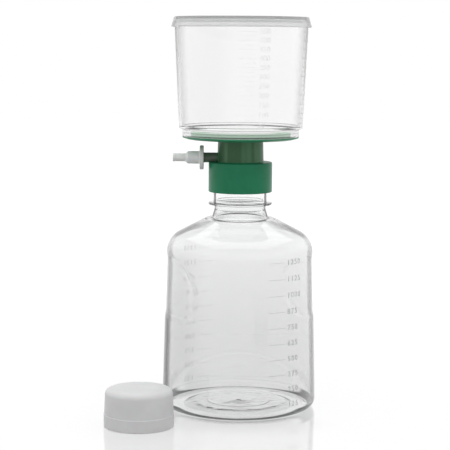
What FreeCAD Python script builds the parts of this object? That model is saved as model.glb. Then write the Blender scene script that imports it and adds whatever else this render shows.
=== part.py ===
import FreeCAD, Part

import math
import os

# A disposable vacuum filtration unit: a funnel with a membrane on a moulded filter base,
# screwed on a blown receiver bottle, with a hose adapter and the bottle's own storage cap.
# Millimetres, +Z up. The origin is the centre of the bottle's foot, on the surface it stands on.
# The vacuum spigot points along -X, and the storage cap lies in front and to the left.

# ---------------------------------------------------------------- driving dimensions

# Clearances between pieces
bond_gap = 0.1            # glue line round a bonded joint
push_gap = 0.08           # hose adapter on its spigot
plug_gap = 0.1            # cotton plug in its bore
thread_gap = 0.35         # thread crest to the wall that faces it

# Screw closure, shared by the bottle's neck, the filter base and the storage cap
neck_radius = 20.95
neck_wall = 2.55
thread_height = 1.45
closure_wall = 2.05

# Receiver bottle
bottle_wall = 1.5
foot_radius = 60.6
body_top_radius = 57.0
body_top_height = 133.7
heel_rounding = 10.0
shoulder_rounding = 18.0
shoulder_top_reach = 4.4  # flat top of the shoulder, outward from the neck's root
shoulder_top_height = 149.6
shoulder_top_rounding = 4.0
neck_root_step = 1.15     # how much wider the neck is below its support ring
neck_root_fillet = 1.6
neck_flare_fillet = 3.0   # inside, where the blown shoulder opens out below the neck
neck_flare_height = 157.0
foot_ring_inner_radius = 43.0
push_up_height = 2.4
push_up_radius = 31.0
support_ring_reach = 3.85
support_ring_drop = 28.7  # below the mouth
support_ring_thickness = 1.5
mouth_height = 188.7

# Grip recess, one on each side, the same after half a turn: its corners are tight and wide by turns
grip_depth = 0.8
grip_foot = 74.0
grip_top = 120.5
grip_half_width = 45.0
grip_tight_corner = 9.0
grip_wide_corner = 26.0

# Filter base
seal_thickness = 1.8
seal_overhang = 0.9       # how far the seal reaches inside the bottle's mouth
collar_height = 23.25
collar_roof = 2.65
stem_top_radius = 17.65
stem_foot_radius = 18.1
stem_wall = 1.8
stem_length = 17.75       # from the collar's top to the plate's underside inside its edge
plate_thickness = 2.1
plate_edge_thickness = 0.8
plate_edge_taper = 4.5    # width over which the underside rises to the thin edge
plate_hub_drop = 1.2
clamp_ring_thickness = 1.2
clamp_ring_height = 4.0
locating_ring_gap = 2.75  # groove between the clamp ring and the locating ring
locating_ring_thickness = 1.6
locating_ring_height = 1.2
membrane_radius = 37.5
membrane_gap = 0.2
membrane_thickness = 0.3
membrane_land = 2.0
membrane_seat_height = 2.2
drain_fall = 1.3
drain_floor_thickness = 2.4
drain_rib_count = 18
drain_rib_thickness = 1.0
drain_rib_start = 6.8     # ribs stop short of the outlet, so that it can drain
drain_ring_radius = 19.0
outlet_bore_radius = 3.0
outlet_wall = 1.8
outlet_reach = 5.2        # how far the drip tube hangs below the bottle's mouth

# Vacuum spigot and its web
spigot_radius = 3.9
spigot_bore_radius = 2.3
spigot_sink = 0.65        # how far the spigot lies in the collar's top
spigot_web_thickness = 3.0
spigot_web_setback = 0.7  # the web ends inside the collar's edge
cotton_length = 8.0
cotton_inset = 1.5

# Hose adapter: a flange, a step for a wide hose and a step for a narrow one
adapter_standoff = 3.9    # between the collar's side and the flange
adapter_socket_depth = 10.5
adapter_flange_radius = 9.4
adapter_flange_thickness = 3.1
adapter_wide_radius = 4.9
adapter_wide_length = 9.2
adapter_taper_length = 1.9
adapter_narrow_radius = 3.25
adapter_narrow_length = 9.9
adapter_bore_radius = 1.9

# Upper chamber
chamber_wall = 2.0
skirt_height = 8.4        # from the plate to the ledge
ledge_reach = 2.7         # how far the chamber's foot overhangs the skirt
chamber_height = 79.2     # from the ledge to the rim
chamber_flare = 3.7       # how much wider the rim is than the foot
chamber_corner_rounding = 2.2

# Lid
lid_disc = 1.5
lid_wall = 1.2
lid_top_reach = 0.35      # outside the chamber's rim
lid_brim_reach = 2.55
lid_rim_height = 3.2      # stacking rim above the disc
lid_skirt_drop = 3.3      # brim below the chamber's rim
lid_brim_band = 1.0

# Storage cap, lying beside the bottle
cap_height = 28.4
cap_top = 2.2
cap_top_wall = 3.25
cap_band_wall = 3.6
cap_band_height = 9.5
cap_band_step = 0.3
cap_bevel = 2.3
cap_seal_drop = 3.5
cap_seal_wall = 1.1
cap_seal_gap = 0.3
cap_place = (-75.2, -70.1)

# ---------------------------------------------------------------- sizes that follow

root = 0.5                # how deep a fused feature reaches into what carries it

neck_bore_radius = neck_radius - neck_wall
neck_root_radius = neck_radius + neck_root_step
shoulder_top_radius = neck_root_radius + shoulder_top_reach
support_ring_radius = neck_radius + support_ring_reach
support_ring_height = mouth_height - support_ring_drop

thread_crest_radius = neck_radius + thread_height
closure_bore_radius = thread_crest_radius + thread_gap
collar_radius = closure_bore_radius + closure_wall
roof_height = mouth_height + seal_thickness
collar_top = roof_height + collar_roof
collar_foot = collar_top - collar_height

plate_underside = collar_top + stem_length
plate_floor_height = plate_underside + plate_thickness
plate_hub_height = plate_underside - plate_hub_drop
plate_edge_height = plate_floor_height - plate_edge_thickness
membrane_seat = plate_floor_height + membrane_seat_height
membrane_edge = membrane_radius + membrane_gap
clamp_ring_radius = membrane_edge + clamp_ring_thickness
clamp_ring_top = plate_floor_height + clamp_ring_height
locating_ring_inner = clamp_ring_radius + locating_ring_gap
locating_ring_radius = locating_ring_inner + locating_ring_thickness
locating_ring_top = plate_floor_height + locating_ring_height
drain_radius = membrane_radius - membrane_land
drain_low = plate_floor_height - drain_fall
outlet_radius = outlet_bore_radius + outlet_wall
outlet_foot = mouth_height - outlet_reach
spigot_height = collar_top + spigot_radius - spigot_sink
adapter_start = collar_radius + adapter_standoff
spigot_end = adapter_start + adapter_socket_depth
spigot_web_end = collar_radius - spigot_web_setback

skirt_bore_radius = locating_ring_radius + bond_gap
skirt_radius = skirt_bore_radius + chamber_wall
plate_radius = skirt_radius
chamber_foot_radius = skirt_radius + ledge_reach
chamber_rim_radius = chamber_foot_radius + chamber_flare
chamber_ledge_height = plate_floor_height + skirt_height
chamber_rim_height = chamber_ledge_height + chamber_height
lid_top_radius = chamber_rim_radius + lid_top_reach
lid_brim_radius = chamber_rim_radius + lid_brim_reach

cap_top_radius = closure_bore_radius + cap_top_wall
cap_band_radius = closure_bore_radius + cap_band_wall

rounding_step = math.radians(30)   # turn of one straight step of a rounded corner
finest_round = 6.0        # a smaller rounding is one straight step
full_turn = 360.0
z_axis = FreeCAD.Vector(0, 0, 1)


# ---------------------------------------------------------------- helpers

def parallel_corner(before, here, after, distance):
    """Corner of the outline that lies a distance to the left of the one given."""
    def shifted(start, end):
        run = math.hypot(end[0] - start[0], end[1] - start[1])
        across = ((start[1] - end[1]) / run, (end[0] - start[0]) / run)
        return (start[0] + across[0] * distance, start[1] + across[1] * distance,
                (end[0] - start[0]) / run, (end[1] - start[1]) / run)

    x1, y1, dx1, dy1 = shifted(before, here)
    x2, y2, dx2, dy2 = shifted(here, after)
    turn = dx1 * dy2 - dy1 * dx2
    along = ((x2 - x1) * dy2 - (y2 - y1) * dx2) / turn
    return (x1 + dx1 * along, y1 + dy1 * along)


def rounded_face(corners):
    """Face in the XZ plane from (x, z, rounding) corners, each rounded in even straight steps."""
    points = []
    for index, (x, z, rounding) in enumerate(corners):
        here = FreeCAD.Vector(x, 0, z)
        if rounding == 0:
            points.append(here)
            continue
        before = corners[index - 1]
        after = corners[(index + 1) % len(corners)]
        back = (FreeCAD.Vector(before[0], 0, before[1]) - here).normalize()
        ahead = (FreeCAD.Vector(after[0], 0, after[1]) - here).normalize()
        half_angle = back.getAngle(ahead) / 2
        turn = math.pi - 2 * half_angle
        steps = max(1, round(turn / rounding_step)) if rounding >= finest_round else 1
        centre = here + (back + ahead).normalize() * (rounding / math.sin(half_angle))
        start = here + back * (rounding / math.tan(half_angle)) - centre
        clockwise = math.copysign(1, (back.cross(ahead)).y)
        for step in range(steps + 1):
            angle = clockwise * turn * step / steps
            points.append(centre + FreeCAD.Vector(
                start.x * math.cos(angle) - start.z * math.sin(angle), 0,
                start.x * math.sin(angle) + start.z * math.cos(angle)))
    return Part.Face(Part.makePolygon([*points, points[0]]))


def turned(corners):
    """Solid turned about the Z axis from (radius, height, rounding) corners."""
    return rounded_face(corners).revolve(FreeCAD.Vector(0, 0, 0), z_axis, full_turn)


def tube_along_x(radius, start, end, height):
    """Round bar along -X between two distances from the unit's axis."""
    return Part.makeCylinder(radius, end - start, FreeCAD.Vector(-start, 0, height),
                             FreeCAD.Vector(-1, 0, 0))


def save(shape, node):
    """Write one node and report its size."""
    shape.exportStep("parts/" + node + ".step")
    print(node, "volume", round(shape.Volume), "mm3, valid", shape.isValid())


# ---------------------------------------------------------------- receiver bottle

def bottle_corners():
    """Outer corners of the bottle below its neck, from the foot ring up to the shoulder's top."""
    return [
        (push_up_radius, push_up_height),
        (foot_ring_inner_radius, 0.0),
        (foot_radius, 0.0),
        (body_top_radius, body_top_height),
        (shoulder_top_radius, shoulder_top_height),
    ]


def bottle_outside():
    """The bottle as a full turned body, with its push-up, support ring and mouth."""
    push_up, foot_ring, foot, body_top, shoulder_top = bottle_corners()
    ring_top = support_ring_height + support_ring_thickness
    return turned([
        (0, push_up_height, 0),
        (*push_up, 0),
        (*foot_ring, 0),
        (*foot, heel_rounding),
        (*body_top, shoulder_rounding),
        (*shoulder_top, shoulder_top_rounding),
        (neck_root_radius, shoulder_top_height, neck_root_fillet),
        (neck_root_radius, support_ring_height, 0),
        (support_ring_radius, support_ring_height, 0),
        (support_ring_radius, ring_top, 0),
        (neck_radius, ring_top, 0),
        (neck_radius, mouth_height, 0),
        (0, mouth_height, 0),
    ])


def bottle_inside():
    """The bottle's hollow: the outside's corners, moved in by the wall."""
    outer = [(0, push_up_height), *bottle_corners(), (neck_root_radius, shoulder_top_height)]
    inner = [parallel_corner(outer[index - 1], outer[index], outer[index + 1], bottle_wall)
             for index in range(1, len(outer) - 1)]
    push_up, foot_ring, foot, body_top, shoulder_top = inner
    return turned([
        (0, push_up_height + bottle_wall, 0),
        (*push_up, 0),
        (*foot_ring, 0),
        (*foot, heel_rounding - bottle_wall),
        (*body_top, shoulder_rounding - bottle_wall),
        (*shoulder_top, shoulder_top_rounding + bottle_wall),
        (neck_root_radius - bottle_wall, shoulder_top_height - bottle_wall, neck_flare_fillet),
        (neck_bore_radius, neck_flare_height, 0),
        (neck_bore_radius, mouth_height + bottle_wall, 0),
        (0, mouth_height + bottle_wall, 0),
    ])


def grip_cutter(inset):
    """What a grip recess takes from the body on the +X side, made larger all round by an inset."""
    side = grip_half_width + inset
    foot = grip_foot - inset
    top = grip_top + inset
    outline = rounded_face([
        (-side, top, grip_tight_corner + inset),
        (-side, foot, grip_wide_corner + inset),
        (side, foot, grip_tight_corner + inset),
        (side, top, grip_wide_corner + inset),
    ])
    outline.rotate(FreeCAD.Vector(0, 0, 0), z_axis, 90)
    block = outline.extrude(FreeCAD.Vector(foot_radius + inset, 0, 0))
    lean = (foot_radius - body_top_radius) / body_top_height
    floor = Part.makeCone(foot_radius - grip_depth - inset,
                          foot_radius - grip_depth - inset - lean * body_top_height,
                          body_top_height)
    return block.cut(floor)


def gripped(body, inset):
    """A body with both grip recesses taken out of it."""
    cutter = grip_cutter(inset)
    opposite = cutter.copy()
    opposite.rotate(FreeCAD.Vector(0, 0, 0), z_axis, 180)
    return body.cut(cutter).cut(opposite)


def receiver_bottle():
    """Blown bottle: the hollow follows the outside and its grips at the wall's distance."""
    outside = gripped(bottle_outside(), 0)
    inside = gripped(bottle_inside(), bottle_wall)
    return outside.cut(inside)


# ---------------------------------------------------------------- screwed head

def neck_seal():
    """Flat ring between the bottle's mouth and the collar's roof."""
    inner = neck_bore_radius - seal_overhang
    outer = closure_bore_radius - thread_gap
    return turned([
        (inner, mouth_height, 0),
        (outer, mouth_height, 0),
        (outer, roof_height, 0),
        (inner, roof_height, 0),
    ])


def base_moulding():
    """Collar, stem, plate and drip tube in one turned section."""
    stem_bore_radius = stem_top_radius - stem_wall
    hub_ceiling = drain_low - drain_floor_thickness
    return turned([
        (outlet_bore_radius, outlet_foot, 0),
        (outlet_radius, outlet_foot, 0),
        (outlet_radius, hub_ceiling, 0),
        (stem_bore_radius, hub_ceiling, 0),
        (stem_bore_radius, roof_height, 0),
        (closure_bore_radius, roof_height, 0),
        (closure_bore_radius, collar_foot, 0),
        (collar_radius, collar_foot, 0),
        (collar_radius, collar_top, 0),
        (stem_foot_radius, collar_top, 0),
        (stem_top_radius, plate_hub_height, 0),
        (plate_radius - plate_edge_taper, plate_underside, 0),
        (plate_radius, plate_edge_height, 0),
        (plate_radius, plate_floor_height, 0),
        (locating_ring_radius, plate_floor_height, 0),
        (locating_ring_radius, locating_ring_top, 0),
        (locating_ring_inner, locating_ring_top, 0),
        (locating_ring_inner, plate_floor_height, 0),
        (clamp_ring_radius, plate_floor_height, 0),
        (clamp_ring_radius, clamp_ring_top, 0),
        (membrane_edge, clamp_ring_top, 0),
        (membrane_edge, membrane_seat, 0),
        (drain_radius, membrane_seat, 0),
        (drain_radius, plate_floor_height, 0),
        (outlet_bore_radius, drain_low, 0),
    ])


def drain_ribs():
    """Fan of ribs that carry the membrane. They are rooted in the floor and in the land."""
    rib = Part.makeBox(drain_radius + root - drain_rib_start, drain_rib_thickness,
                       membrane_seat - drain_low + root,
                       FreeCAD.Vector(drain_rib_start, -drain_rib_thickness / 2, drain_low - root))
    ribs = []
    for index in range(drain_rib_count):
        turned_rib = rib.copy()
        turned_rib.rotate(FreeCAD.Vector(0, 0, 0), z_axis, full_turn * index / drain_rib_count)
        ribs.append(turned_rib)
    return ribs


def drain_ring():
    """Low ring across the ribs. It stops half-way up, so that the filtrate runs over it."""
    ring_outer = drain_ring_radius + drain_rib_thickness
    ring_top = (membrane_seat + drain_low) / 2
    return turned([
        (drain_ring_radius, drain_low - root, 0),
        (ring_outer, drain_low - root, 0),
        (ring_outer, ring_top, 0),
        (drain_ring_radius, ring_top, 0),
    ])


def filter_base():
    """The base with its spigot, the web under the spigot, and the duct into the stem's hollow."""
    spigot_root = stem_top_radius - stem_wall + root
    spigot = tube_along_x(spigot_radius, spigot_root, spigot_end, spigot_height)
    web = Part.makeBox(spigot_web_end - spigot_root, spigot_web_thickness,
                       spigot_height - collar_top + root,
                       FreeCAD.Vector(-spigot_web_end, -spigot_web_thickness / 2,
                                      collar_top - root))
    moulding = base_moulding().fuse([spigot, web, *drain_ribs(), drain_ring()])
    duct = tube_along_x(spigot_bore_radius, outlet_radius + root, spigot_end + root, spigot_height)
    return moulding.cut(duct).removeSplitter()


def vent_plug():
    """Cotton plug in the spigot's bore."""
    tip = spigot_end - cotton_inset
    return tube_along_x(spigot_bore_radius - plug_gap, tip - cotton_length, tip, spigot_height)


def membrane():
    """Filter disc on the land and the ribs, inside the clamp ring."""
    return Part.makeCylinder(membrane_radius, membrane_thickness,
                             FreeCAD.Vector(0, 0, membrane_seat))


def hose_adapter():
    """Turned about the spigot: a socket that stops on the spigot's end, then two hose steps."""
    flange_end = adapter_start + adapter_flange_thickness
    wide_end = flange_end + adapter_wide_length
    narrow_start = wide_end + adapter_taper_length
    tip = narrow_start + adapter_narrow_length
    socket_radius = spigot_radius + push_gap
    body = turned([
        (socket_radius, adapter_start, 0),
        (adapter_flange_radius, adapter_start, 0),
        (adapter_flange_radius, flange_end, 0),
        (adapter_wide_radius, flange_end, 0),
        (adapter_wide_radius, wide_end, 0),
        (adapter_narrow_radius, narrow_start, 0),
        (adapter_narrow_radius, tip, 0),
        (adapter_bore_radius, tip, 0),
        (adapter_bore_radius, spigot_end, 0),
        (socket_radius, spigot_end, 0),
    ])
    body.rotate(FreeCAD.Vector(0, 0, 0), FreeCAD.Vector(0, 1, 0), -90)
    body.translate(FreeCAD.Vector(0, 0, spigot_height))
    return body


def upper_chamber():
    """Tapered funnel wall that jogs in to a skirt, which stands round the plate's locating ring."""
    underside = chamber_ledge_height - chamber_wall
    return turned([
        (skirt_bore_radius, plate_floor_height, 0),
        (skirt_radius, plate_floor_height, 0),
        (skirt_radius, underside, 0),
        (chamber_foot_radius, underside, chamber_corner_rounding),
        (chamber_rim_radius, chamber_rim_height, 0),
        (chamber_rim_radius - chamber_wall, chamber_rim_height, 0),
        (chamber_foot_radius - chamber_wall, chamber_ledge_height, 0),
        (skirt_bore_radius, chamber_ledge_height, 0),
    ])


def lid():
    """Recessed disc that rests on the chamber's rim, with a stacking rim and a flared skirt."""
    disc_top = chamber_rim_height + lid_disc
    rim_top = disc_top + lid_rim_height
    brim_foot = chamber_rim_height - lid_skirt_drop
    brim_top = brim_foot + lid_brim_band
    flare = (lid_brim_radius - lid_top_radius) / (rim_top - brim_top)
    skirt_radius_at_disc = lid_top_radius + flare * (rim_top - chamber_rim_height)
    return turned([
        (0, chamber_rim_height, 0),
        (skirt_radius_at_disc - lid_wall, chamber_rim_height, 0),
        (lid_brim_radius - lid_wall, brim_foot, 0),
        (lid_brim_radius, brim_foot, 0),
        (lid_brim_radius, brim_top, 0),
        (lid_top_radius, rim_top, 0),
        (lid_top_radius - lid_wall, rim_top, 0),
        (lid_top_radius - lid_wall, disc_top, 0),
        (0, disc_top, 0),
    ])


# ---------------------------------------------------------------- storage cap

def storage_cap():
    """Screw cap, mouth down, with a bevelled top, a wider band at its foot and a plug seal inside."""
    ceiling = cap_height - cap_top
    seal_outer = neck_bore_radius - cap_seal_gap
    seal_inner = seal_outer - cap_seal_wall
    side_lean = (cap_band_radius - cap_band_step - cap_top_radius) / (cap_height - cap_band_height)
    bevel_radius = cap_top_radius - cap_bevel
    bevel_side = cap_top_radius + side_lean * cap_bevel
    cap = turned([
        (0, ceiling, 0),
        (seal_inner, ceiling, 0),
        (seal_inner, ceiling - cap_seal_drop, 0),
        (seal_outer, ceiling - cap_seal_drop, 0),
        (seal_outer, ceiling, 0),
        (closure_bore_radius, ceiling, 0),
        (closure_bore_radius, 0, 0),
        (cap_band_radius, 0, 0),
        (cap_band_radius, cap_band_height, 0),
        (cap_band_radius - cap_band_step, cap_band_height, 0),
        (bevel_side, cap_height - cap_bevel, 0),
        (bevel_radius, cap_height, 0),
        (0, cap_height, 0),
    ])
    cap.translate(FreeCAD.Vector(cap_place[0], cap_place[1], 0))
    return cap


# ---------------------------------------------------------------- write the nodes

os.makedirs("parts", exist_ok=True)
save(receiver_bottle(), "receiver_bottle")
save(storage_cap(), "storage_cap")
save(neck_seal(), "neck_seal")
save(filter_base(), "filter_base")
save(vent_plug(), "vent_plug")
save(hose_adapter(), "hose_adapter")
save(membrane(), "membrane")
save(upper_chamber(), "upper_chamber")
save(lid(), "lid")
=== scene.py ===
"""Looks of a vacuum filtration unit.

A lidded clear funnel stands on a green membrane base with a side hose adapter. The base is
screwed on a clear graduated receiver bottle, and the bottle's storage cap lies beside it.
"""

import logging
import math
from collections.abc import Callable, Iterable
from dataclasses import dataclass, field
from enum import Enum

import bpy
from mathutils import Matrix, Quaternion, Vector


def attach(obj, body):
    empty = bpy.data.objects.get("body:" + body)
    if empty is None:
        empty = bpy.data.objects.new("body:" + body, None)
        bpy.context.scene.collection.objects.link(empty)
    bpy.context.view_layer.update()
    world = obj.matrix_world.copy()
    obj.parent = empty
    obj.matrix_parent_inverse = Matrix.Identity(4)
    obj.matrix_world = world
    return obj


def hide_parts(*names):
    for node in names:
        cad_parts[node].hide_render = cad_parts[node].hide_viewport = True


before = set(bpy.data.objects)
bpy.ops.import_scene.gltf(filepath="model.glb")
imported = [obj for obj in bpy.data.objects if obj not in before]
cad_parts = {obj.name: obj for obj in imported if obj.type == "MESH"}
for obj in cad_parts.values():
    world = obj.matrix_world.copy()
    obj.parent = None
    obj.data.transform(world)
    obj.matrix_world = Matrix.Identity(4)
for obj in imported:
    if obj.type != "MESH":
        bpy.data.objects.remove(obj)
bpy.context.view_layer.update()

LOG = logging.getLogger("filtration_unit")
MM = 0.001
CENTRE_LINE = Vector((0.0, 0.0, 0.0))
MERGE_DISTANCE = 0.002 * MM
TINY = 1e-6
MM3_PER_ML = 1000.0
PLASTIC_IOR = 1.5
WHITE = (1.0, 1.0, 1.0)

# Sizes that pieces share, in mm.
PLATE_RADIUS = 45.35
PLATE_TOP = 213.0
FUNNEL_RIM = 300.6
THREAD_HEIGHT = 1.35
THREAD_BORE = 22.75
SPIGOT_HEIGHT = 196.4
SPIGOT_END = 39.2

Point = tuple[float, float]
Place = tuple[float, float, float]
Corner = tuple[float, float, float]  # radius, height and rounding, in mm
Colour = tuple[float, float, float]
Rows = tuple[float, float, float]  # from, up to, and the longest run between, in mm
Rule = Callable[[float, float, float, float], float]
Piece = bpy.types.Object
Material = bpy.types.Material
Tree = bpy.types.NodeTree
Node = bpy.types.Node
Socket = bpy.types.NodeSocket


class Axis(Enum):
    """Which way a turned piece's axis points."""

    UP = Vector((0, 0, 1))
    TO_HOSE = Vector((-1, 0, 0))


class Tick(Enum):
    """Length of a graduation line, in mm."""

    LONG = 14.6
    SHORT = 8.0


# ------------------------------------------------------------------ modelling


def deselect() -> None:
    """Leaves edit mode and deselects everything."""
    if bpy.context.object and bpy.context.object.mode != "OBJECT":
        bpy.ops.object.mode_set(mode="OBJECT")
    bpy.ops.object.select_all(action="DESELECT")


def rounded(corners: Iterable[Corner], step: float = 12.0) -> list[Point]:
    """Gives a closed outline its rounded corners.

    Args:
        corners: Corners as (radius, height, rounding), in mm.
        step: Turn of one short run of a rounding, in degrees.

    Returns:
        Points of the outline as (radius, height), in mm.
    """
    listed = list(corners)
    points: list[Point] = []
    for index, (x, z, rounding) in enumerate(listed):
        here = Vector((x, z))
        if rounding == 0:
            points.append((x, z))
            continue
        back = (Vector(listed[index - 1][:2]) - here).normalized()
        ahead = (Vector(listed[(index + 1) % len(listed)][:2]) - here).normalized()
        half = back.angle(ahead) / 2
        turn = math.pi - 2 * half
        centre = here + (back + ahead).normalized() * (rounding / math.sin(half))
        arm = here + back * (rounding / math.tan(half)) - centre
        side = -math.copysign(1, back.x * ahead.y - back.y * ahead.x)
        count = max(2, round(math.degrees(turn) / step))
        for part in range(count + 1):
            angle = side * turn * part / count
            points.append(
                (
                    centre.x + arm.x * math.cos(angle) - arm.y * math.sin(angle),
                    centre.y + arm.x * math.sin(angle) + arm.y * math.cos(angle),
                )
            )
    return points


def with_rows(points: list[Point], low: float, high: float, step: float) -> list[Point]:
    """Adds even rows to the long runs of an outline.

    Args:
        points: The outline, in mm.
        low: Height from which runs are divided.
        high: Height up to which runs are divided.
        step: Longest run that is left between those heights.

    Returns:
        The outline with the added points.
    """
    made: list[Point] = []
    for index, (x, z) in enumerate(points):
        made.append((x, z))
        if index + 1 == len(points):
            break
        x2, z2 = points[index + 1]
        cuts = sorted({min(max(h, low), high) for h in (z, z2)}, reverse=z > z2)
        if len(cuts) < 2 or abs(z2 - z) <= step:
            continue
        first, last = cuts
        count = max(1, math.ceil(abs(last - first) / step))
        for part in range(count + 1):
            height = first + (last - first) * part / count
            if abs(height - z) > TINY and abs(height - z2) > TINY:
                made.append((x + (x2 - x) * (height - z) / (z2 - z), height))
    return made


def lathe(
    name: str,
    outline: list[Point],
    segments: int,
    axis: Axis = Axis.UP,
    centre: Vector = CENTRE_LINE,
    closed: bool = True,
) -> Piece:
    """Turns an outline about an axis into a closed shell.

    Args:
        name: Name of the piece.
        outline: Points as (radius, distance along the axis), in mm.
        segments: Steps of the full turn.
        axis: Direction of the axis.
        centre: A point on the axis, in metres, from which distances along it count.
        closed: Whether the outline comes back to its first point. An outline that is not
            closed starts and ends on the axis.

    Returns:
        The piece, with its place in its mesh.
    """
    out = Vector((1, 0, 0)) if axis is Axis.UP else Vector((0, 0, 1))
    places = [centre + out * (r * MM) + axis.value * (h * MM) for r, h in outline]
    if closed:
        places.append(places[0])
    deselect()
    bpy.ops.mesh.primitive_plane_add(size=MM, location=(0, 0, 0))
    piece = bpy.context.object
    piece.name = piece.data.name = name
    bpy.ops.object.mode_set(mode="EDIT")
    bpy.ops.mesh.select_all(action="SELECT")
    bpy.ops.mesh.merge(type="CENTER")
    bpy.ops.transform.translate(value=places[0])
    for start, end in zip(places, places[1:]):
        bpy.ops.mesh.extrude_region_move(TRANSFORM_OT_translate={"value": end - start})
    bpy.ops.mesh.select_all(action="SELECT")
    bpy.ops.mesh.remove_doubles(threshold=MERGE_DISTANCE)
    bpy.ops.mesh.select_all(action="SELECT")
    bpy.ops.mesh.spin(steps=segments, angle=math.tau, center=centre, axis=axis.value)
    bpy.ops.mesh.select_all(action="SELECT")
    bpy.ops.mesh.remove_doubles(threshold=MERGE_DISTANCE)
    bpy.ops.mesh.normals_make_consistent(inside=False)
    bpy.ops.object.mode_set(mode="OBJECT")
    return piece


def block(name: str, low: Vector, high: Vector, bevel: float = 0.0) -> Piece:
    """Makes a bar between two corners.

    Args:
        name: Name of the piece.
        low: Lowest corner, in mm.
        high: Highest corner, in mm.
        bevel: Width of the edge break, in mm, 0 for sharp edges.

    Returns:
        The piece, with its place in its mesh.
    """
    deselect()
    bpy.ops.mesh.primitive_cube_add(size=MM, location=(0, 0, 0))
    piece = bpy.context.object
    piece.name = piece.data.name = name
    bpy.ops.object.mode_set(mode="EDIT")
    bpy.ops.mesh.select_all(action="SELECT")
    bpy.ops.transform.resize(value=high - low, center_override=(0, 0, 0))
    bpy.ops.transform.translate(value=(low + high) * (MM / 2))
    if bevel:
        bpy.ops.mesh.bevel(offset=bevel * MM, segments=2, affect="EDGES")
    bpy.ops.object.mode_set(mode="OBJECT")
    return piece


def smoothed(piece: Piece, angle: float = 40.0) -> Piece:
    """Shades a piece smooth, apart from edges sharper than an angle in degrees."""
    deselect()
    piece.select_set(True)
    bpy.context.view_layer.objects.active = piece
    bpy.ops.object.shade_smooth_by_angle(angle=math.radians(angle))
    return piece


def joined(pieces: list[Piece], name: str) -> Piece:
    """Joins pieces into the first of them and names it."""
    deselect()
    for piece in pieces:
        piece.select_set(True)
    bpy.context.view_layer.objects.active = pieces[0]
    bpy.ops.object.join()
    pieces[0].name = pieces[0].data.name = name
    return pieces[0]


def moved_in_and_out(piece: Piece, rule: Rule) -> None:
    """Shapes a turned wall by moving its points towards or away from the Z axis.

    Args:
        piece: The turned piece.
        rule: Gives the move outwards from x, y, z and radius, all in mm.
    """
    for vertex in piece.data.vertices:
        x, y, z = vertex.co / MM
        radius = math.hypot(x, y)
        if radius < TINY:
            continue
        shift = rule(x, y, z, radius)
        if shift:
            vertex.co.x *= (radius + shift) / radius
            vertex.co.y *= (radius + shift) / radius


def radius_at(wall: list[Point], height: float) -> float:
    """Radius of a rising wall at a height, from its points in mm."""
    for (r1, z1), (r2, z2) in zip(wall, wall[1:]):
        if z1 <= height <= z2 and z2 > z1:
            return r1 + (r2 - r1) * (height - z1) / (z2 - z1)
    return wall[-1][0]


@dataclass(frozen=True)
class Thread:
    """A screw thread as a smooth bead on a turned wall.

    Attributes:
        height: How far the crest stands off the wall, in mm, negative for a nut's thread.
        low: Height at which the thread starts, in mm.
        high: Height at which it ends, in mm.
        pitch: Rise in one turn, in mm.
        width: Width of the bead, in mm.
        run_out: Turn over which each end fades, in degrees.
        set_round: How far round the thread is set, as a share of a turn.
        fullness: How far the bead's section is filled out, 1 as a plain wave. Its crest is cut
            flat at the height.
    """

    height: float
    low: float
    high: float
    pitch: float = 4.0
    width: float = 2.4
    run_out: float = 40.0
    set_round: float = 0.0
    fullness: float = 1.6

    def lift(self, x: float, y: float, z: float) -> float:
        """Gives how far the wall is lifted at a point.

        Args:
            x: Place of the point, in mm.
            y: Place of the point, in mm.
            z: Height of the point, in mm.

        Returns:
            The lift of the wall there, in mm.
        """
        turn = (math.atan2(y, x) / math.tau + self.set_round) % 1.0
        first = self.low / self.pitch
        last = self.high / self.pitch
        nearest = round(z / self.pitch - turn) + turn
        if not first <= nearest <= last:
            return 0.0
        off = abs(z - nearest * self.pitch) / (self.width / 2)
        if off >= 1:
            return 0.0
        end = min(nearest - first, last - nearest) * 360 / self.run_out
        section = min(1.0, self.fullness * (math.cos(off * math.pi) + 1) / 2)
        return self.height * section * min(1.0, max(0.0, end))

    def on_wall(self, wall: float, near: float = 0.05) -> Rule:
        """Gives the rule that lifts the thread on one straight wall.

        Args:
            wall: Radius of the wall, in mm.
            near: How far off that radius a point still counts as on the wall, in mm.

        Returns:
            The move outwards at a point, from x, y, z and radius in mm.
        """
        return lambda x, y, z, radius: (
            self.lift(x, y, z) if abs(radius - wall) < near else 0.0
        )


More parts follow.
